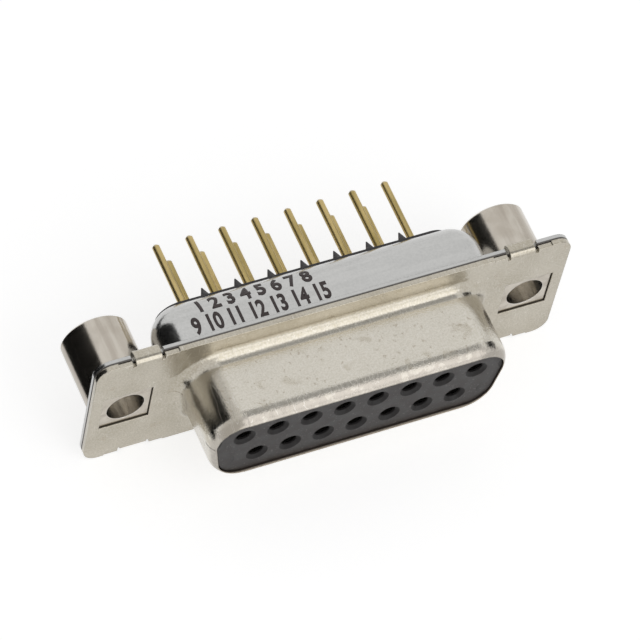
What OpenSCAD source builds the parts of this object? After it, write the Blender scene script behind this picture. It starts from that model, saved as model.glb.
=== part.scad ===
// Fifteen-way D-shaped board connector, socket side, with straight tails and round board spacers.
// The model's frame: X runs along the connector, -Y points at the mate, +Z is up (the row of eight).
// The origin is on the front face of the flange, midway between the two fixing holes.
// Inside each module the connector lies face up, so depth is measured along the local Z axis:
// positive towards the mate, negative towards the board. face_the_mate() turns it into the frame.

/* [Flange] */
// From the middle of a fixing hole to the end of the flange
ear_reach = 2.92; // [2.8:0.02:4]
// How far the flange stands out past the rear cup along each long side
flange_side = 0.925; // [0.85:0.025:1.6]
// Radius of the flange corners
flange_corner_r = 1.3; // [0.6:0.1:2]
// Thickness of the steel sheet of both shells
sheet_t = 0.4; // [0.3:0.05:0.45]
// Gap left between the two flanges where they lie on each other
seam_gap = 0.03; // [0.01:0.01:0.08]
// Side of the square window in each ear
window_side = 4.05; // [3.9:0.05:4.4]

/* [Mating shell] */
// From the end contact of the wide row to the outside of the D-shaped tube
tube_end = 2.76; // [2.6:0.02:3]
// From the middle of either row to the outside of the tube
tube_side = 2.58; // [2.5:0.02:2.8]
// Outside radius of the tube's corners
mate_corner_r = 2.8; // [2.7:0.05:2.85]
// Slope of the tube's short sides
side_slope = 10; // [6:1:12]
// Where the drawn edge starts to turn in, ahead of the flange
mate_turn = 5; // [4.8:0.1:5.2]
// Radius of the turned-in front edge
mate_edge_r = 1.5; // [1.45:0.05:1.55]
// Radius of the fillet between the tube and the flange
mate_root_r = 1; // [0.6:0.1:1.1]
// How far the turned-in edge reaches in over each end of the face
lip_end = 0.5; // [0.42:0.02:0.6]
// How far the turned-in edge reaches in over each long side of the face
lip_side = 0.65; // [0.55:0.05:0.75]
// Corner radius of the opening in the front edge
mouth_corner_r = 2.2; // [1.8:0.1:2.4]

/* [Rear shell] */
// How far the rear cup stands out past the tube at each end
cup_end = 1.275; // [1.2:0.025:1.4]
// How far the rear cup stands out past the tube along each long side
cup_side = 1.35; // [1.25:0.05:1.45]
// Outside radius of the cup's corners, upright and along its turned-in edge
cup_corner_r = 2.5; // [2.4:0.1:2.6]
// Where the cup's edge starts to turn in, behind the flange face
cup_turn = 2.95; // [2.8:0.05:3.1]
// Radius of the fillet between the cup and its flange
cup_root_r = 0.4; // [0.2:0.05:0.5]
// How far the cup's turned-in edge reaches in at each end
back_lip_end = 1.325; // [1.2:0.025:1.5]
// How far the cup's turned-in edge reaches in along each long side
back_lip_side = 1.8; // [1.7:0.05:1.9]
// Corner radius of the opening in the back of the cup
back_corner_r = 1.9; // [1.6:0.1:2.2]

/* [Folded tabs] */
// Width of each tab folded round the rear flange
tab_w = 2.1; // [1.6:0.1:2.4]
// How much nearer the connector's middle the tabs stand than the fixing holes
tab_inset = 1.25; // [0.9:0.05:1.4]
// Length of the folded end that grips the rear flange
tab_lip = 1.2; // [0.8:0.1:1.5]
// Width of the relief slot on each side of a tab
tab_slot = 0.25; // [0.15:0.05:0.35]
// Depth of the relief slots
slot_depth = 0.55; // [0.5:0.05:0.7]
// Outside radius of the tab's folds
tab_fold_r = 0.45; // [0.42:0.01:0.5]
// Width of the shallow relief in the front flange's edge at each tab
relief_w = 4.86; // [4:0.02:5.2]
// Depth of the shallow relief
relief_depth = 0.12; // [0.05:0.01:0.2]

/* [Insulators] */
// How far the front insulator's face stands ahead of where the tube's edge starts to turn in
face_rise = 0.93; // [0.85:0.01:1.05]
// How far the rear insulator stands out behind where the cup's edge starts to turn in
back_rise = 2.7; // [2.6:0.05:2.95]
// Clearance round the insulators inside the shells
insulator_gap = 0.08; // [0.04:0.01:0.12]
// Diameter of the socket entry holes
entry_d = 1.24; // [1.14:0.02:1.4]
// Diameter of the lead-in at the face
leadin_d = 1.8; // [1.6:0.05:1.95]
// Depth of the lead-in
leadin_depth = 0.25; // [0.15:0.05:0.35]
// Diameter of the small cones on the back of the rear insulator
cone_d = 0.8; // [0.5:0.05:0.9]
// Height of the small cones
cone_h = 0.85; // [0.4:0.05:1.2]

/* [Contacts] */
// Spacing of the contacts along a row
contact_pitch = 2.74; // [2.7:0.01:2.78]
// Distance between the two rows
row_gap = 2.84; // [2.8:0.01:2.9]
// Outside diameter of the socket barrel with its sleeve
sleeve_d = 2; // [1.9:0.02:2.04]
// Wall of the sleeve
sleeve_wall = 0.14; // [0.1:0.01:0.16]
// Diameter of the socket's bore
socket_bore_d = 1.04; // [1.02:0.01:1.1]
// Diameter of the collar held between the insulators
collar_d = 2.3; // [2.2:0.02:2.36]
// Length of the collar
collar_l = 0.8; // [0.6:0.1:1]
// Diameter of the round tail
tail_d = 0.6; // [0.5:0.02:0.76]
// How far the tails reach past the spacers
tail_past = 5.3; // [2.2:0.1:9]
// Clearance round each contact in the insulators
contact_gap = 0.03; // [0.02:0.01:0.04]

/* [Spacers] */
// Outside diameter of the round spacers
spacer_d = 5.4; // [4.8:0.1:5.6]
// Clearance between each spacer and the rear cup
spacer_gap = 0.325; // [0.2:0.025:0.6]
// How far the spacers hold the board off the rear insulator
board_gap = 1.15; // [0.9:0.05:2.4]
// Bevel round the spacer's end
spacer_bevel = 0.15; // [0.05:0.05:0.4]
// Diameter of the through hole
hole_d = 3.05; // [2.9:0.05:3.3]
// How far the square end stops short of the flange's front face
boss_setback = 0.15; // [0.05:0.05:0.3]
// Clearance round the square end in the windows
boss_gap = 0.05; // [0.02:0.01:0.1]

/* [Hidden] */
$fn = 64;

wide_row = 8;                       // contacts in the upper row
narrow_row = wide_row - 1;          // contacts in the lower row
contacts = wide_row + narrow_row;

// The tube goes round the contacts, the cup round the tube and the flange round the cup
mate_w = (wide_row - 1) * contact_pitch + 2 * tube_end;
mate_h = row_gap + 2 * tube_side;
mouth_w = mate_w - 2 * lip_end;
mouth_h = mate_h - 2 * lip_side;
cup_w = mate_w + 2 * cup_end;
cup_h = mate_h + 2 * cup_side;
back_w = cup_w - 2 * back_lip_end;
back_h = cup_h - 2 * back_lip_side;
hole_pitch = cup_w + spacer_d + 2 * spacer_gap;
flange_w = hole_pitch + 2 * ear_reach;
flange_h = cup_h + 2 * flange_side;
tab_x = hole_pitch / 2 - tab_inset;

// How far each face stands from the front of the flange
face_reach = mate_turn + face_rise;
back_reach = cup_turn + back_rise;
spacer_reach = back_reach + board_gap;
tail_reach = spacer_reach + tail_past;

// The two sheets of the flange, one behind the other
front_back = -sheet_t;
rear_front = front_back - seam_gap;
rear_back = rear_front - sheet_t;

// The pair of insulators: the front one fills the tube, and the ledge of the rear one fills the cup
wall_gap = sheet_t + insulator_gap;
split_depth = sheet_t + seam_gap;
bend_margin = 0.1;                  // a wall is still nearly straight this near to where it turns in
ledge_back = -cup_turn - bend_margin;
shoulder = mate_turn - bend_margin;
web_t = 0.43;                       // wall of plastic in front of each socket cavity
back_web_t = 0.75;                  // wall of plastic behind each shank
cone_inset = 0.05;                  // how far the small cones stand in from the opening's edge

// The contacts, all measured along the connector's depth
end_gap = 0.05;                     // room ahead of a sleeve, and ahead of the tines in it
sleeve_front = face_reach - web_t - end_gap;
sleeve_back = 0.9;
sleeve_lip_t = 0.15;                // the sleeve closes in round the entry at its front
tine_front = sleeve_front - sleeve_lip_t - end_gap;
tine_gap = 0.06;                    // room round the tines in their sleeve
tine_slot_w = 0.2;
tine_root = 0.6;                    // solid metal behind the tines' slot
bore_root = 0.2;                    // solid metal behind the socket's bore
seat_l = 0.5;                       // the part of a contact that its sleeve is pressed on
shank_d = 1.5;                      // the part of a contact held by the rear insulator
shank_end = back_reach - back_web_t;
tip_dome_h = 0.15;
small = 0.02;
hair = 0.02;
core_lap = 0.3;                     // how far the filled pieces of a D reach into each other

// Middle of the arc at each corner of a D, for an outline w wide and h high with corners of radius r
function arc_x(w, h, r, up) = w / 2 - r - (up > 0 ? 0 : (h - 2 * r) * tan(side_slope));
function arc_y(h, r, up) = up * (h / 2 - r);

// Each corner as [side, up, angle where its arc starts, angle it turns through], clockwise runs between
function d_corners() = [
    [1, 1, -side_slope, 90 + side_slope],
    [-1, 1, 90, 90 + side_slope],
    [-1, -1, 180 + side_slope, 90 - side_slope],
    [1, -1, 270, 90 - side_slope]
];
function d_centre(w, h, r, c) = [c[0] * arc_x(w, h, r, c[1]), arc_y(h, r, c[1])];

// Place of a numbered contact: 1 to 8 from +X along the upper row, 9 to 15 along the lower
function contact_x(k) = k <= wide_row
    ? ((wide_row + 1) / 2 - k) * contact_pitch
    : ((narrow_row + 1) / 2 - (k - wide_row)) * contact_pitch;
function contact_y(k) = (k <= wide_row ? 1 : -1) * row_gap / 2;

module face_the_mate() {
    rotate([90, 0, 0]) children();
}

// A flat D with true round corners
module d_area(w, h, r) {
    polygon([
        for (c = d_corners(), a = [c[2], c[2] + c[3]])
            d_centre(w, h, r, c) + r * [cos(a), sin(a)]
    ]);
    for (c = d_corners()) translate(d_centre(w, h, r, c)) circle(r);
}

module d_block(w, h, r, from, to) {
    translate([0, 0, from]) linear_extrude(to - from) d_area(w, h, r);
}

// A D with a rounded edge is filled from straight sides, round corners and a core. The children are
// its section, whose X is the distance out from the middle of the corner arcs. The corners are a hair
// smaller than the sides, so that no two surfaces only just touch.
module d_side(w, h, r, i) {
    corners = d_corners();
    here = d_centre(w, h, r, corners[i]);
    run = d_centre(w, h, r, corners[(i + 3) % 4]) - here;
    translate(here) rotate(atan2(run[1], run[0])) rotate([90, 0, 90])
        linear_extrude(norm(run)) let ($in = -core_lap, $out = r) children();
}

module d_corner(w, h, r, i) {
    translate(d_centre(w, h, r, d_corners()[i]))
        rotate_extrude() let ($in = 0, $out = r - hair) children();
}

module d_core(w, h, r, from, to) {
    translate([0, 0, (from + to) / 2])
        cube([w - 2 * r + core_lap, h - 2 * r + core_lap, to - from], center = true);
}

// Section of a drawn tube's outside: a fillet at the foot, the wall and the turned-in edge
module outside_section(root_r, turn, edge_r) {
    foot = root_r - hair;
    difference() {
        translate([$in, -sheet_t / 2]) square([$out + root_r - $in, sheet_t / 2 + foot]);
        translate([$out + root_r, foot]) circle(root_r);
    }
    translate([$in, foot]) square([$out - $in, turn - foot]);
    edge_section(turn, edge_r);
}

// Section of the space inside the tube, one sheet thickness further in
module inside_section(root_r, turn, edge_r) {
    foot = 2 * hair - sheet_t;
    translate([$in, -2 * sheet_t]) square([$out + root_r - $in, foot + 2 * sheet_t]);
    difference() {
        translate([$in, foot]) square([$out + root_r - $in, root_r - foot]);
        translate([$out + root_r, root_r]) circle(root_r + sheet_t);
    }
    translate([$in, root_r]) square([$out - sheet_t - $in, turn - root_r]);
    edge_section(turn, edge_r - sheet_t, sheet_t);
}

// The turned-in edge, stopping just short of flat
module edge_section(turn, edge_r, wall = 0) {
    r = min(edge_r, $out - wall);
    middle = $out - wall - r;
    if (middle > $in) translate([$in, turn]) square([middle - $in, edge_r - small]);
    intersection() {
        translate([middle, turn]) circle(r);
        translate([middle, turn]) square([r, edge_r - small]);
    }
}

// A flange, drawn by the children with its front at zero, with a D-shaped tube drawn up from it
module drawn_shell(w, h, r, root_r, turn, edge_r, open_w, open_h, open_r) {
    difference() {
        difference() {
            difference() {
                union() {
                    children();
                    union() {
                        for (i = [0 : 3]) {
                            d_side(w, h, r, i) outside_section(root_r, turn, edge_r);
                            d_corner(w, h, r, i) outside_section(root_r, turn, edge_r);
                        }
                        d_core(w, h, r, -sheet_t / 2, turn + sheet_t);
                    }
                }
                union() {
                    for (i = [0 : 3]) d_side(w, h, r, i) inside_section(root_r, turn, edge_r);
                    d_core(w, h, r, -1.5 * sheet_t, turn + sheet_t / 2);
                }
            }
            union() {
                for (i = [0 : 3]) d_corner(w, h, r, i) inside_section(root_r, turn, edge_r);
                d_core(w, h, r, -1.5 * sheet_t, turn + sheet_t / 2);
            }
        }
        d_block(open_w, open_h, open_r, turn - sheet_t, turn + 2 * edge_r);
    }
}

// Outline of a flange with its round ears
module flange_area(w, h) {
    inner_w = w - 2 * flange_corner_r;
    inner_h = h - 2 * flange_corner_r;
    square([w, inner_h], center = true);
    square([inner_w, h], center = true);
    for (x = [-1, 1], y = [-1, 1])
        translate([x * inner_w / 2, y * inner_h / 2]) circle(flange_corner_r);
}

module at_both_ears() {
    for (side = [-1, 1]) translate([side * hole_pitch / 2, 0]) children();
}

module at_tabs() {
    for (side = [-1, 1], up = [0, 1]) mirror([0, up, 0]) translate([side * tab_x, 0, 0]) children();
}

// Section of a folded tab: the sheet goes back over the rear flange's edge and down behind it
module tab_section() {
    top = flange_h / 2;
    back = rear_back - seam_gap - sheet_t;
    difference() {
        union() {
            translate([top - tab_lip, back]) square([tab_lip - tab_fold_r, -back]);
            translate([top - tab_fold_r, back + tab_fold_r]) square([tab_fold_r, -back - 2 * tab_fold_r]);
            for (y = [-tab_fold_r, back + tab_fold_r]) translate([top - tab_fold_r, y]) circle(tab_fold_r);
        }
        translate([top - 2 * tab_lip, rear_back - seam_gap])
            square([2 * tab_lip - sheet_t, front_back - rear_back + seam_gap]);
    }
}

module front_shell() {
    color("#b9b5a8") face_the_mate()
        drawn_shell(
            mate_w, mate_h, mate_corner_r, mate_root_r, mate_turn, mate_edge_r,
            mouth_w, mouth_h, mouth_corner_r
        ) {
            translate([0, 0, front_back]) linear_extrude(sheet_t) difference() {
                flange_area(flange_w, flange_h);
                at_both_ears() square(window_side, center = true);
                at_tabs() translate([0, flange_h / 2]) {
                    square([tab_w + 2 * tab_slot, 2 * slot_depth], center = true);
                    square([relief_w, 2 * relief_depth], center = true);
                }
            }
            at_tabs() translate([-tab_w / 2, 0, 0]) rotate([90, 0, 90])
                linear_extrude(tab_w) tab_section();
        }
}

module rear_shell() {
    inset = sheet_t + seam_gap;
    color("#a9abb0") face_the_mate() translate([0, 0, rear_back]) mirror([0, 0, 1])
        drawn_shell(
            cup_w, cup_h, cup_corner_r, cup_root_r, cup_turn + rear_back, cup_corner_r,
            back_w, back_h, back_corner_r
        )
            translate([0, 0, -sheet_t]) linear_extrude(sheet_t) difference() {
                flange_area(flange_w, flange_h - 2 * seam_gap);
                at_both_ears() square(window_side, center = true);
                at_tabs() translate([0, flange_h / 2])
                    square([tab_w + 2 * tab_slot, 2 * inset], center = true);
            }
}

// A round hole or cut along the depth, at every contact
module at_contacts() {
    for (k = [1 : contacts]) translate([contact_x(k), contact_y(k), 0]) children();
}

module front_insulator() {
    color("#26272a") face_the_mate() difference() {
        union() {
            d_block(
                mouth_w - 2 * insulator_gap, mouth_h - 2 * insulator_gap,
                mouth_corner_r - insulator_gap, shoulder, face_reach
            );
            d_block(
                mate_w - 2 * wall_gap, mate_h - 2 * wall_gap, mate_corner_r - wall_gap,
                -split_depth, shoulder
            );
        }
        at_contacts() {
            translate([0, 0, -split_depth - small])
                cylinder(d = sleeve_d + 2 * contact_gap, h = split_depth + small + face_reach - web_t);
            cylinder(d = entry_d, h = face_reach + small);
            translate([0, 0, face_reach - leadin_depth])
                cylinder(d1 = entry_d, d2 = leadin_d, h = leadin_depth);
        }
    }
}

module rear_insulator() {
    cone_y = back_h / 2 - insulator_gap - cone_d / 2 - cone_inset;
    color("#1e1f21") face_the_mate() {
        difference() {
            union() {
                d_block(
                    cup_w - 2 * wall_gap, cup_h - 2 * wall_gap, cup_corner_r - wall_gap,
                    ledge_back, -split_depth
                );
                d_block(
                    back_w - 2 * insulator_gap, back_h - 2 * insulator_gap,
                    back_corner_r - insulator_gap, -back_reach, ledge_back
                );
            }
            at_contacts() {
                translate([0, 0, -split_depth - collar_l - 2 * contact_gap])
                    cylinder(d = collar_d + 2 * contact_gap, h = collar_l + 2 * contact_gap + small);
                translate([0, 0, -shank_end - contact_gap])
                    cylinder(d = shank_d + 2 * contact_gap, h = shank_end - split_depth);
                translate([0, 0, -back_reach - small])
                    cylinder(d = tail_d + 2 * contact_gap, h = back_reach);
            }
        }
        for (k = [1 : narrow_row])
            translate([contact_x(wide_row + k), cone_y, -back_reach - cone_h])
                cylinder(d1 = cone_d / 8, d2 = cone_d, h = cone_h);
    }
}

// A turned socket contact: slotted tines, collar, shank and tail in one piece
module contact(k) {
    color("#b08d3c") face_the_mate() translate([contact_x(k), contact_y(k), 0]) {
        difference() {
            union() {
                translate([0, 0, sleeve_back])
                    cylinder(d = sleeve_d - 2 * (sleeve_wall + tine_gap), h = tine_front - sleeve_back);
                translate([0, 0, sleeve_back]) cylinder(d = sleeve_d - 2 * sleeve_wall, h = seat_l);
                translate([0, 0, -split_depth - collar_l / 2])
                    cylinder(d = sleeve_d, h = split_depth + collar_l / 2 + sleeve_back);
            }
            translate([0, 0, sleeve_back + bore_root]) cylinder(d = socket_bore_d, h = tine_front);
            translate([-sleeve_d / 2, -tine_slot_w / 2, sleeve_back + tine_root])
                cube([sleeve_d, tine_slot_w, tine_front]);
        }
        translate([0, 0, -split_depth - contact_gap - collar_l]) cylinder(d = collar_d, h = collar_l);
        translate([0, 0, -shank_end]) cylinder(d = shank_d, h = shank_end - split_depth);
        translate([0, 0, tip_dome_h - tail_reach]) cylinder(d = tail_d, h = tail_reach - shank_end);
        translate([0, 0, -tail_reach]) cylinder(d1 = tail_d / 2, d2 = tail_d, h = tip_dome_h);
    }
}

// The thin sleeve pressed over a socket's tines, closed in round the entry
module sleeve(k) {
    bore = sleeve_d - 2 * sleeve_wall;
    color("#c9c9c6") face_the_mate() translate([contact_x(k), contact_y(k), sleeve_back]) difference() {
        cylinder(d = sleeve_d, h = sleeve_front - sleeve_back);
        translate([0, 0, -small]) cylinder(d = bore, h = sleeve_front - sleeve_back - sleeve_lip_t + small);
        cylinder(d = entry_d, h = sleeve_front);
    }
}

// A round spacer with a square end that sits in the windows of both flanges
module spacer(side) {
    boss_side = window_side - 2 * boss_gap;
    length = spacer_reach + rear_back;
    color("#a5a39d") face_the_mate() translate([side * hole_pitch / 2, 0, 0]) difference() {
        union() {
            translate([0, 0, -spacer_reach])
                cylinder(d1 = spacer_d - 2 * spacer_bevel, d2 = spacer_d, h = spacer_bevel);
            translate([0, 0, spacer_bevel - spacer_reach]) cylinder(d = spacer_d, h = length - spacer_bevel);
            translate([-boss_side / 2, -boss_side / 2, rear_back])
                cube([boss_side, boss_side, -rear_back - boss_setback]);
        }
        translate([0, 0, -spacer_reach - small]) cylinder(d = hole_d, h = spacer_reach + 2 * small);
    }
}

module spacer_left() { spacer(-1); }
module spacer_right() { spacer(1); }

front_shell();
rear_shell();
front_insulator();
rear_insulator();
spacer_left();
spacer_right();
for (k = [1 : contacts]) {
    contact(k);
    sleeve(k);
}
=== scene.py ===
# %% [markdown]
# # A fifteen-way board connector
#
# The connector is two drawn steel shells that clamp a pair of black mouldings between them. The
# mouldings hold fifteen turned contacts, whose gold tails stand out behind, and two turned
# spacers keep the board off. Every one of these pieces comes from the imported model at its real
# size, so the lesson is about finishes: plated sheet, turned nickel, thin gold, moulded plastic
# and ink. One new piece is modelled, the printed row of contact numbers.

# %% Load the frame
import math

import bpy
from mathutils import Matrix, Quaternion, Vector


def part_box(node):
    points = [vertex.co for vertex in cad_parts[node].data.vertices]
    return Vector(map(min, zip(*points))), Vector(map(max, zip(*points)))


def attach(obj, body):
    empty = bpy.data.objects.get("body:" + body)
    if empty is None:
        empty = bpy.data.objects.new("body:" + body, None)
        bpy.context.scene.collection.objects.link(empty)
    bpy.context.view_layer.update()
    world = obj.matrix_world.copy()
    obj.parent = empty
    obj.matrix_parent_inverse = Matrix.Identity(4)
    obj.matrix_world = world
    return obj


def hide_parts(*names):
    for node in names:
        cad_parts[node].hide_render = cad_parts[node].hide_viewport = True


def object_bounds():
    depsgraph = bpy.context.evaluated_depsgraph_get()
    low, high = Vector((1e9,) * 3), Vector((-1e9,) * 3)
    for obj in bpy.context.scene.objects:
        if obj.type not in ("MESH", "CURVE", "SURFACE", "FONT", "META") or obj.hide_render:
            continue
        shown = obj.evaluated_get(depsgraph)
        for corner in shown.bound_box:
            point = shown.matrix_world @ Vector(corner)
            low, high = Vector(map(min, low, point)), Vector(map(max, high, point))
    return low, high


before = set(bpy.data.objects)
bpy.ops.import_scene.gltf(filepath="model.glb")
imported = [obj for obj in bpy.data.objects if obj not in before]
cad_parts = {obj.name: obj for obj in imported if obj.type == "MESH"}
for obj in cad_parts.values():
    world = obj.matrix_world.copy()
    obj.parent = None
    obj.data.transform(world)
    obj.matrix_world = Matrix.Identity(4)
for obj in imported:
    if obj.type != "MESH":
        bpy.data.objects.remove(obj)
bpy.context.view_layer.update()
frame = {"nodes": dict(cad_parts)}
nodes = frame["nodes"]
MM = 0.001

# %% [markdown]
# Shader maths reads best as plain expressions. `Socket` wraps one output of a node, and its
# operators add Math nodes. `Nodes` owns one node tree, of a material or of the world, and is the
# only maker of nodes: its `node` method takes the type, the settings and the inputs, in that
# order. `Finish` is a material with one glossy shader in it.


# %% A small language for materials
class Socket:
    def __init__(self, nodes, link):
        self.nodes, self.link = nodes, link

    def maths(self, operation, *others):
        return self.nodes.node(
            "ShaderNodeMath", {"operation": operation}, dict(enumerate((self,) + others)))

    def __add__(self, other):
        return self.maths("ADD", other)

    def __sub__(self, other):
        return self.maths("SUBTRACT", other)

    def __rsub__(self, other):
        return (self * -1).maths("ADD", other)

    def __mul__(self, other):
        return self.maths("MULTIPLY", other)

    __radd__, __rmul__ = __add__, __mul__

    def size(self):
        return self.maths("ABSOLUTE")

    def between(self, low, high):
        """0 below low, 1 above high, and a smooth step in between."""
        return self.nodes.node(
            "ShaderNodeMapRange", {"interpolation_type": "SMOOTHSTEP"}, {0: self, 1: low, 2: high}
        )


class Nodes:
    def __init__(self, tree):
        self.tree = tree
        tree.nodes.clear()

    def node(self, kind, settings=None, inputs=None, out=0):
        node = self.tree.nodes.new(kind)
        for name, value in (settings or {}).items():
            setattr(node, name, value)
        self.feed(node, inputs or {})
        return Socket(self, node.outputs[out]) if node.outputs else None

    def feed(self, node, inputs):
        for name, value in inputs.items():
            if isinstance(value, Socket):
                self.tree.links.new(value.link, node.inputs[name])
            else:
                node.inputs[name].default_value = value

    def mix(self, amount, first, second):
        """Colour going from first to second as amount goes from 0 to 1."""
        return self.node(
            "ShaderNodeMix", {"data_type": "RGBA", "clamp_factor": True},
            {0: amount, 6: first, 7: second}, out=2,
        )

    def seen(self):
        """1 for what the camera sees, by itself or in a mirror-like surface, and 0 for the rest."""
        camera = self.node("ShaderNodeLightPath", out="Is Camera Ray")
        return camera + self.node("ShaderNodeLightPath", out="Is Glossy Ray")


class Finish(Nodes):
    def __init__(self, name):
        self.material = bpy.data.materials.new(name)
        self.material.use_nodes = True
        super().__init__(self.material.node_tree)
        surface = self.node("ShaderNodeBsdfPrincipled")
        self.shader = surface.link.node
        self.node("ShaderNodeOutputMaterial", None, {"Surface": surface})
        self.place = self.node("ShaderNodeTexCoord", out="Object")

    def set(self, **inputs):
        self.feed(self.shader, {name.replace("_", " "): value for name, value in inputs.items()})

    def along(self, axis):
        """How far a point lies along an axis, in mm."""
        return self.node("ShaderNodeSeparateXYZ", None, {0: self.place}, out=axis) * (1 / MM)

    def noise(self, per_mm, detail=3, stretch=(1, 1, 1), offset=0):
        """Noise with so many bumps to the millimetre, from 0 to 1."""
        where = self.node("ShaderNodeMapping", None, {
            "Vector": self.place, "Location": (offset, offset, offset),
            "Scale": tuple(s * per_mm / MM for s in stretch),
        })
        return self.node("ShaderNodeTexNoise", None, {"Vector": where, "Scale": 1, "Detail": detail})

    def relief(self, height, depth_mm, edge_mm):
        """A bump of that depth, on edges rounded over by edge_mm."""
        rounded = self.node("ShaderNodeBevel", {"samples": 6}, {"Radius": edge_mm * MM})
        self.set(Normal=self.node("ShaderNodeBump", None, {
            "Height": height, "Distance": depth_mm * MM, "Strength": 1, "Normal": rounded,
        }))


def rgb(red, green, blue):
    return (red, green, blue, 1)


def wear(pieces, finish):
    """Gives pieces a finish, in every slot they have."""
    for piece in pieces:
        for slot in piece.material_slots:
            slot.material = finish.material
    print(finish.material.name, "on", len(pieces), "piece(s)")


def numbered(start):
    return [nodes[name] for name in sorted(nodes) if name.startswith(start)]


# %% [markdown]
# ## Two drawn shells
#
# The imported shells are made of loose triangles, with hair-fine creases where the corners meet the
# straight sides. Real drawn sheet has no such crease. Each shell gets a skin: a copy whose points
# are merged, so the creases close, and whose faces are shaded smoothly by their size, so the flat
# flange stays flat right up to its fillet. The skin stands for the node, which isn't shown.


# %% The shells' skins
def skin_of(name):
    bpy.ops.object.select_all(action="DESELECT")
    piece = bpy.data.objects.new(name + "_skin", nodes[name].data.copy())
    bpy.context.scene.collection.objects.link(piece)
    bpy.context.view_layer.objects.active = piece
    piece.select_set(True)
    loose = len(piece.data.vertices)
    bpy.ops.mesh.customdata_custom_splitnormals_clear()
    bpy.ops.object.mode_set(mode="EDIT")
    bpy.ops.mesh.select_all(action="SELECT")
    bpy.ops.mesh.remove_doubles(threshold=0.024 * MM)
    bpy.ops.mesh.dissolve_degenerate(threshold=0.002 * MM)
    bpy.ops.object.mode_set(mode="OBJECT")
    bpy.ops.object.shade_smooth_by_angle(angle=math.radians(38))
    bpy.ops.object.modifier_add(type="WEIGHTED_NORMAL")
    piece.modifiers[-1].keep_sharp = True
    piece.modifiers[-1].weight = 90
    for modifier in list(piece.modifiers):
        bpy.ops.object.modifier_apply(modifier=modifier.name)
    print(piece.name, "has", len(piece.data.vertices), "points, from", loose)
    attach(piece, "root")
    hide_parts(name)
    return piece


skins = {
    "front_shell": skin_of("front_shell"),
    "rear_shell": skin_of("rear_shell"),
}

# %% [markdown]
# ## Plated steel sheet
#
# The front shell is tin-plated before it is drawn. The plate is a warm grey that the press has
# burnished unevenly: cloudy patches, brown specks, hair-fine scratches and a lively grain. Cloud
# and stain are slow noises that shift the colour and the roughness. The grain is a fast one that
# breaks up the reflections, and a scratch is a thin band where a stretched noise passes its middle.
#
# The finish then differs by place. The tube's walls are set paler than the flange. On the real piece
# part of that is only what the metal mirrors, which this tent can't repeat everywhere. The rounded
# rim is painted darker, a painted shade that dims its reflection, with small beads of painted
# highlight, and the corners of one end carry a painted dark reflection. The cut edge of the
# turned-in lip is rough and painted paler, a painted highlight, with painted shade in its depth,
# and the walls of the two windows hold painted shade. Each is a mask, found by where a point lies
# along the axes, and for the cut edge also by its face not pointing forwards.


# %% The front shell's tin plate
tin = Finish("warm_tin_plate")
spacer_low, spacer_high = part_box("spacer_right")
hole_x = (spacer_low.x + spacer_high.x) / 2 / MM
cloud = tin.noise(0.22, detail=4)
stain = tin.noise(0.7, detail=6, offset=7).between(0.58, 0.7)
speck = tin.noise(2.6, detail=4, offset=11).between(0.62, 0.7)
grain = tin.noise(6.5, detail=4)
drawn = tin.noise(2.4, detail=3, stretch=(0.07, 1, 1), offset=3)
scratch = 1 - (tin.noise(0.5, detail=2, stretch=(2.2, 0.35, 1), offset=4) - 0.5).size().between(0, 0.006)
tube_wall = 1 - tin.along("Y").between(-0.9, -0.3)
# painted shade: the rim is painted darker, which dims its reflection, with beads of painted highlight
rim = 1 - tin.along("Y").between(-5.75, -5.35)
rim_painted_glint = tin.noise(1.3, detail=3, offset=15).between(0.52, 0.6)
# painted dark reflection on the corners at the tube's left end
corner = (1 - tin.along("X").between(-10.4, -9.6)) * tin.along("X").between(-11.9, -11.2) * tube_wall
up = tin.along("Z").size()
from_hole = (tin.along("X").size() - hole_x).size()
facing = tin.node("ShaderNodeNewGeometry", out="True Normal")
forward = tin.node("ShaderNodeSeparateXYZ", None, {0: facing}, out="Y").size()
lip = (1 - forward.between(0.3, 0.4)) * (1 - tin.along("Y").between(-5.9, -5.8))
# painted shade in the depth of the lip's cut edge
lip_painted_shade = lip * tin.along("Y").between(-6.08, -6.02)
window_low, window_high = 2.04, 2.06
# painted shade on the walls of the two windows
window_wall_shade = (1 - from_hole.between(window_low, window_high)) * (1 - up.between(window_low, window_high))
window_wall_shade = window_wall_shade * tin.along("Y").between(0.02, 0.08)

# %% [markdown]
# The colour is then painted in layers, from the widest to the smallest. Each layer names how much
# of it shows and what colour it brings, and the last two are painted shade.

# %% The tin plate's colour, gloss and relief
tin_colour = tin.mix(cloud.between(0.35, 0.7), rgb(0.465, 0.43, 0.36), rgb(0.4, 0.365, 0.295))
layers = [
    (tube_wall * 0.8, (0.61, 0.58, 0.51)),
    (grain.between(0.4, 0.6) * (0.2 + tube_wall * 0.25), (0.7, 0.67, 0.61)),
    (stain * 0.3, (0.4, 0.35, 0.26)),
    (speck * (0.12 + tube_wall * 0.3), (0.27, 0.22, 0.16)),
    # painted shade on the rim, lifted by beads of painted highlight
    (rim * (0.85 - rim_painted_glint * 0.3), (0.35, 0.32, 0.285)),
    # painted dark reflection on the corners of one end
    (corner * 0.6, (0.3, 0.27, 0.22)),
    (scratch * 0.35, (0.72, 0.7, 0.65)),
    # painted highlight: the lip's cut edge is painted paler, as if lit
    (lip * 0.8, (0.7, 0.62, 0.52)),
    # painted shade in the lip's depth
    (lip_painted_shade * 0.9, (0.05, 0.035, 0.03)),
    # painted shade on the window walls
    (window_wall_shade * 0.85, (0.06, 0.05, 0.04)),
]
for amount, colour in layers:
    tin_colour = tin.mix(amount, tin_colour, rgb(*colour))
tin.set(
    Base_Color=tin_colour, Metallic=1.0,
    Roughness=0.12 + cloud * 0.1 + stain * 0.08 + grain * 0.06 + lip * 0.4 + window_wall_shade * 0.3,
)
tin.relief(grain * (0.5 + tube_wall * 0.3) + drawn * 0.35 + cloud - scratch * 0.2, 0.014, 0.11)
wear([nodes["front_shell"], skins["front_shell"]], tin)
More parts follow.
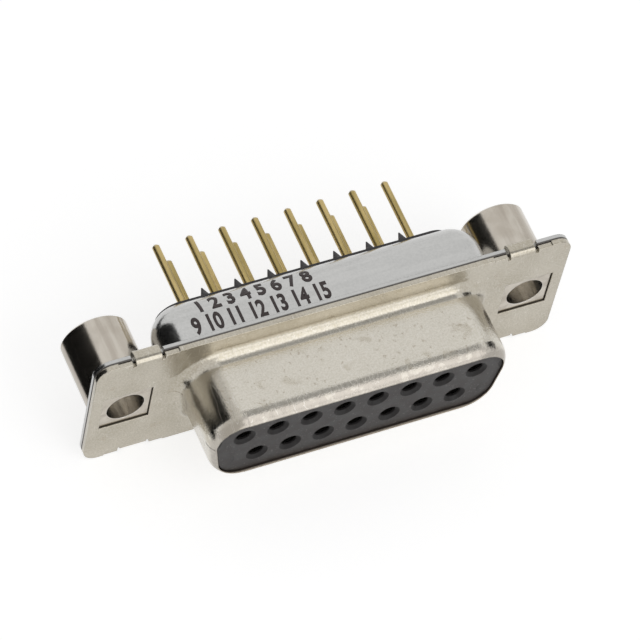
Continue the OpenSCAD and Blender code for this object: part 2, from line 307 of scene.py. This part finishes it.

# %% [markdown]
# The rear shell has the same build but another plate: neutral, smoother and almost free of
# stains, so the same recipe is used with less of everything. Painted shade darkens the plate on
# its last tenth of a millimetre before the seam where the two flanges meet.

# %% The rear shell's smooth plate
cool = Finish("smooth_plate")
cool_cloud = cool.noise(0.3, detail=3)
cool_grain = cool.noise(5, detail=3)
cool_drawn = cool.noise(1.8, detail=3, stretch=(0.06, 1, 1), offset=6)
# painted shade along the seam between the two flanges
seam = 1 - cool.along("Y").between(0.5, 0.6)
cool_colour = cool.mix(cool_cloud, rgb(0.5, 0.5, 0.49), rgb(0.44, 0.44, 0.43))
cool_colour = cool.mix(cool_drawn.between(0.4, 0.7) * 0.35, cool_colour, rgb(0.6, 0.595, 0.585))
cool_colour = cool.mix(cool_grain.between(0.3, 0.7) * 0.3, cool_colour, rgb(0.62, 0.615, 0.6))
cool.set(
    Base_Color=cool.mix(seam * 0.85, cool_colour, rgb(0.06, 0.05, 0.045)), Metallic=1.0,
    Roughness=0.12 + cool_cloud * 0.1 + cool_grain * 0.08 + seam * 0.3,
)
cool.relief(cool_grain * 0.4 + cool_drawn * 0.3 + cool_cloud, 0.013, 0.1)
wear([nodes["rear_shell"], skins["rear_shell"]], cool)

# %% [markdown]
# ## Turned nickel
#
# The spacers come off a lathe, so their polish is broken by hair-fine rings round the axis. The
# axis lies along Y: a noise that changes fast along Y and hardly at all across it gives rings.
# A rubbed streak or two runs the other way. Inside the bores the nickel is set paler, which makes
# up for how little of the tent they mirror.

# %% The spacers' nickel
nickel = Finish("turned_nickel")
rings = nickel.noise(14, detail=2, stretch=(0.03, 1, 0.03))
tarnish = nickel.noise(0.45, detail=4, offset=2)
rubbed = nickel.noise(1.1, detail=3, stretch=(1, 0.12, 1), offset=9)
from_axis = nickel.node("ShaderNodeVectorMath", {"operation": "LENGTH"}, {0: nickel.node(
    "ShaderNodeCombineXYZ", None,
    {"X": nickel.along("X").size() - hole_x, "Y": 0, "Z": nickel.along("Z")},
)}, out="Value")
bore_radius = 1.54
inside = 1 - from_axis.between(bore_radius - 0.02, bore_radius + 0.02)
nickel_colour = nickel.mix(tarnish.between(0.4, 0.7), rgb(0.55, 0.51, 0.45), rgb(0.46, 0.42, 0.36))
nickel_colour = nickel.mix(rubbed.between(0.45, 0.7) * 0.6, nickel_colour, rgb(0.36, 0.32, 0.27))
nickel.set(
    Base_Color=nickel.mix(inside, nickel_colour, rgb(0.78, 0.75, 0.7)), Metallic=1.0,
    Roughness=0.1 + rings * 0.08 + tarnish * 0.1,
)
nickel.relief(rings + rubbed, 0.002, 0.05)
wear(numbered("spacer_"), nickel)

# %% [markdown]
# ## Thin gold
#
# The tails are gold over nickel over brass, only a fraction of a micron thick. It looks deeper
# and duller than jewellery gold, and the tips, where the wire was cut and rounded, show a paler
# metal. The tips are found by their distance behind the flange, which is the Y coordinate. The
# same distance gives the socket ends, down in their holes, a painted shade.

# %% The contacts' gold and the sleeves' steel
tail_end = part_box("contact_1")[1].y / MM
gold = Finish("thin_gold")
along = gold.along("Y")
tip = along.between(tail_end - 0.28, tail_end - 0.05)
# painted shade on the socket ends down in their holes
hole_shade = 1 - along.between(0, 1)
wire = gold.noise(1.6, detail=3, stretch=(1, 0.15, 1))
gold_colour = gold.mix(wire.between(0.35, 0.7), rgb(0.54, 0.42, 0.19), rgb(0.38, 0.295, 0.115))
gold_colour = gold.mix(tip * 0.7, gold_colour, rgb(0.55, 0.5, 0.42))
gold.set(
    Base_Color=gold.mix(hole_shade * 0.9, gold_colour, rgb(0.03, 0.025, 0.02)), Metallic=1.0,
    Roughness=0.3 + wire * 0.1,
)
wear(numbered("contact_"), gold)

# the sleeves' steel is set almost black: painted shade, for they sit down in the entries
steel = Finish("sleeve_steel")
skin = steel.noise(5, stretch=(1, 0.1, 1))
steel.set(Base_Color=steel.mix(skin, rgb(0.1, 0.1, 0.1), rgb(0.06, 0.06, 0.06)), Metallic=1.0,
          Roughness=0.3 + skin * 0.15)
wear(numbered("sleeve_"), steel)

# %% [markdown]
# ## Moulded plastic
#
# Both insulators are glass-filled polyester. The front one shows a satin charcoal face with fine
# pale specks of dust and fibre. The rear one is blacker. Plastic isn't a metal: its colour comes
# from below a clear surface, so Metallic stays 0 and the gloss has no tint. The lead-ins of the
# fifteen entries are rougher and carry painted shade, for each is a recess. They are found by the
# distance from the nearest contact's axis: the contacts repeat along X, so the X coordinate is
# folded back onto one of them, half a step further along in the upper row than in the lower one.


# %% The insulators' plastic
row_up, pitch, last_in_row = 1.42, 2.74, 9.6
lead_in_edge = (0.86, 0.92)


def near_contact(plastic, height, shift):
    """1 within the lead-in of the nearest contact of one row, and 0 outside."""
    step = (plastic.along("X") * (1 / pitch) + shift).maths("FRACT")
    in_row = 1 - plastic.along("X").size().between(last_in_row, last_in_row + 1) * (2 * shift)
    place = plastic.node("ShaderNodeCombineXYZ", None, {
        "X": (step - 0.5) * pitch, "Y": 0, "Z": plastic.along("Z") - height,
    })
    away = plastic.node("ShaderNodeVectorMath", {"operation": "LENGTH"}, {0: place}, out="Value")
    return (1 - away.between(*lead_in_edge)) * in_row


def moulding(name, dark, pale, rough):
    plastic = Finish(name)
    speck = plastic.noise(5, detail=3, offset=5).between(0.62, 0.7)
    patch = plastic.noise(1.3, detail=6).between(0.38, 0.62)
    # painted shade in the lead-ins, which are recesses
    lead_in_shade = near_contact(plastic, row_up, 0) + near_contact(plastic, -row_up, 0.5)
    colour = plastic.mix(patch, dark, pale)
    colour = plastic.mix(speck * 0.3, colour, rgb(0.22, 0.21, 0.2))
    plastic.set(
        Base_Color=plastic.mix(lead_in_shade * 0.75, colour, rgb(0.008, 0.007, 0.007)),
        Roughness=rough + patch * 0.15 + lead_in_shade * 0.2,
    )
    plastic.relief(plastic.noise(7, detail=2), 0.008, 0.05)
    return plastic


wear([nodes["front_insulator"]], moulding(
    "charcoal_moulding", rgb(0.02, 0.017, 0.016), rgb(0.045, 0.039, 0.038), 0.42))
wear([nodes["rear_insulator"]], moulding(
    "black_moulding", rgb(0.022, 0.02, 0.022), rgb(0.032, 0.029, 0.031), 0.4))

# %% [markdown]
# ## The printed numbers
#
# A jet printer marks the top of the rear shell while the part passes below it. Here it prints
# only the contact positions, in two lines. The figures start as text, become a mesh, are cut into
# narrow strips and are then laid over the shell: flat at first, then round the turned-in edge.

# %% Where the shell's top is flat, and where it turns
turn_radius = 2.5 * MM
cup_top = 5.35 * MM
turn_start = 2.95 * MM
ink_lift = 0.004 * MM
ink_film = 0.006 * MM
strips = 10


def lay_on_cup(across, along):
    """The point of the cup's top, so far along X and so far back over it."""
    past = max(0, along - turn_start)
    angle = past / turn_radius
    reach = turn_radius + ink_lift
    y = min(along, turn_start) + reach * math.sin(angle)
    return Vector((across, y, cup_top - turn_radius + reach * math.cos(angle)))


# %% [markdown]
# Text comes out of Blender as a flat mesh of long thin faces, which can't bend. Cutting each line
# across at nine heights gives it points to bend at. A small random push to every point roughens
# the outlines, as drops of ink do, and a thin Solidify gives the film its thickness.

# %% Print the two lines
def print_line(name, words, start, width, foot, height):
    """A line of figures, from start along X and from foot back over the cup, in mm."""
    bpy.ops.object.select_all(action="DESELECT")
    bpy.ops.object.text_add()
    text = bpy.context.object
    text.name = name
    text.data.body = words
    text.data.offset = 0.034
    text.data.resolution_u = 4
    bpy.ops.object.convert(target="MESH")
    line = bpy.context.object
    points = [v.co for v in line.data.vertices]
    left, wide = min(p.x for p in points), max(p.x for p in points) - min(p.x for p in points)
    base, tall = min(p.y for p in points), max(p.y for p in points) - min(p.y for p in points)
    bpy.ops.object.mode_set(mode="EDIT")
    for k in range(1, strips):
        bpy.ops.mesh.select_all(action="SELECT")
        bpy.ops.mesh.bisect(plane_co=(0, base + tall * k / strips, 0), plane_no=(0, 1, 0))
    bpy.ops.mesh.select_all(action="SELECT")
    bpy.ops.mesh.subdivide(number_cuts=1)
    bpy.ops.transform.vertex_random(offset=0.008, seed=4)
    bpy.ops.object.mode_set(mode="OBJECT")
    for v in line.data.vertices:
        across = start + (v.co.x - left) / wide * width
        along = foot + (v.co.y - base) / tall * height
        v.co = lay_on_cup(across * MM, along * MM)
    bpy.ops.object.modifier_add(type="SOLIDIFY")
    film = line.modifiers[-1]
    film.thickness, film.offset = ink_film, 1
    bpy.ops.object.modifier_apply(modifier=film.name)
    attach(line, "root")
    print(name, "has", len(line.data.polygons), "faces")
    return line


lines = [
    print_line("numbers_upper", "1 2 3 4 5 6 7 8", -9.9, 9.3, 3.2, 1.5),
    print_line("numbers_lower", "9 10 11 12 13 14 15", -11.0, 11.2, 1.35, 1.6),
]

# %% [markdown]
# The ink is a thin brown-black film. It sits on metal but is not one, and it dries uneven, so a
# fast noise moves its colour a little.

# %% Ink
ink = Finish("jet_ink")
dried = ink.noise(5, detail=3)
ink.set(Base_Color=ink.mix(dried, rgb(0.03, 0.02, 0.02), rgb(0.06, 0.042, 0.04)),
        Roughness=0.45 + dried * 0.2)
for line in lines:
    line.data.materials.clear()
    line.data.materials.append(ink.material)
print(ink.material.name, "on", len(lines), "line(s)")

# %% [markdown]
# ## Floor, light and camera
#
# The connector is shown on a pale floor in a light tent. The floor looks white to the camera
# and to mirror-like rays because a share of its brightness is its own. The rest is lit by the
# lamps, so the object's shadow stays.

# %% The white floor
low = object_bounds()[0]
bpy.ops.object.select_all(action="DESELECT")
bpy.ops.mesh.primitive_plane_add(size=6, location=(0, 0, low.z - 0.01 * MM))
floor = bpy.context.object
floor.name = "floor"

paper = Finish("pale_floor")
paper.set(
    Base_Color=rgb(0.62, 0.62, 0.62), Roughness=1.0, Specular_IOR_Level=0.0,
    Emission_Color=paper.mix(paper.seen(), rgb(0, 0, 0), rgb(0.7, 0.7, 0.7)),
    Emission_Strength=1.0,
)
floor.data.materials.append(paper.material)
print("floor at", round(floor.location.z / MM, 2), "mm")

# %% [markdown]
# Polished metal is all reflection, so what matters is what stands round it. The tent is the
# world colour: white to the camera and to mirror-like rays, and a little lower for the rays that
# light the object, because the lamps add the rest.

# %% The tent
world = bpy.data.worlds.new("tent")
bpy.context.scene.world = world
world.use_nodes = True
tent = Nodes(world.node_tree)
level = tent.node("ShaderNodeMapRange", None, {"Value": tent.seen(), "To Min": 0.45, "To Max": 1.0})
tent.node("ShaderNodeOutputWorld", None, {
    "Surface": tent.node("ShaderNodeBackground", None, {"Color": rgb(1, 1, 1), "Strength": level}),
})
print("the tent has", len(world.node_tree.nodes), "nodes")

# %% [markdown]
# In an all-white tent metal looks flat, so a studio hangs dark cards just out of view. Each card
# is seen by mirror-like rays alone, casts no shadow and takes no light away. The overhead one is
# only grey: it draws the soft line along the edge of the mating tube.


# %% Dark cards
def card(name, place, faces, wide, tall, shade):
    """A card of a grey shade at a place in mm, turned to face a point in mm."""
    place, faces = Vector(place) * MM, Vector(faces) * MM
    bpy.ops.object.select_all(action="DESELECT")
    bpy.ops.mesh.primitive_plane_add(size=1, location=place)
    piece = bpy.context.object
    piece.name = name
    piece.scale = (wide * MM, tall * MM, 1)
    piece.rotation_euler = (faces - place).to_track_quat("Z", "Y").to_euler()
    felt = Finish(name)
    felt.set(Base_Color=rgb(0.02, 0.02, 0.02), Roughness=1.0, Specular_IOR_Level=0.0,
             Emission_Color=rgb(shade, shade, shade), Emission_Strength=1.0)
    piece.data.materials.append(felt.material)
    piece.visible_camera = piece.visible_diffuse = piece.visible_shadow = False
    print(name, "is", wide, "by", tall, "mm")


card("card_left", (-150, 95, 115), (0, 95, 115), 160, 245, 0.0)
card("card_low", (-90, 50, -6), (-90, 50, 100), 130, 120, 0.0)
card("card_right", (190, 15, 90), (0, 15, 0), 110, 110, 0.0)
card("card_over", (105, 0, 300), (105, 0, 0), 170, 190, 0.45)

# %% [markdown]
# Two square lamps light the dull plastic and the floor, and put a highlight on each bend of the
# metal. They stand in front, one high and one low. A lamp adds its own brightness to the tent's
# where a bend mirrors it, so each one prints that brightness, and none is above 1.


# %% Lamps
def softbox(name, place, size, watts):
    """A square lamp at a place in mm, facing the middle of the connector."""
    place = Vector(place) * MM
    bpy.ops.object.light_add(type="AREA", location=place)
    lamp = bpy.context.object
    lamp.name = name
    lamp.data.size = size * MM
    lamp.data.energy = watts
    lamp.rotation_euler = (-place).to_track_quat("-Z", "Y").to_euler()
    print(name, "shines with", round(watts / math.pi / (size * MM) ** 2, 2), "where it is seen")


softbox("key_lamp", (130, -270, 290), 240, 0.17)
softbox("front_lamp", (60, -380, 80), 200, 0.12)

# %% [markdown]
# The camera stands well back with a long lens, so the far end looks as wide as the near one. It
# is placed by its turn and height round a point inside the connector, and then rolled.

# %% The camera
aim = Vector((0.03, 2.11, 1.10)) * MM
azimuth, elevation, roll = math.radians(-34.78), math.radians(56.38), math.radians(14.12)
distance = 383.3 * MM
outward = Vector((
    math.sin(azimuth) * math.cos(elevation), -math.cos(azimuth) * math.cos(elevation),
    math.sin(elevation),
))
bpy.ops.object.camera_add(location=aim + outward * distance)
camera = bpy.context.object
camera.rotation_euler = (
    (-outward).to_track_quat("-Z", "Y") @ Quaternion((0, 0, 1), roll)
).to_euler()
camera.data.lens = 283.3
camera.data.sensor_width = 36
camera.data.clip_start = 0.05
bpy.context.scene.camera = camera
bpy.context.scene.view_settings.view_transform = "Standard"
print("the camera stands", round(distance / MM, 1), "mm away")
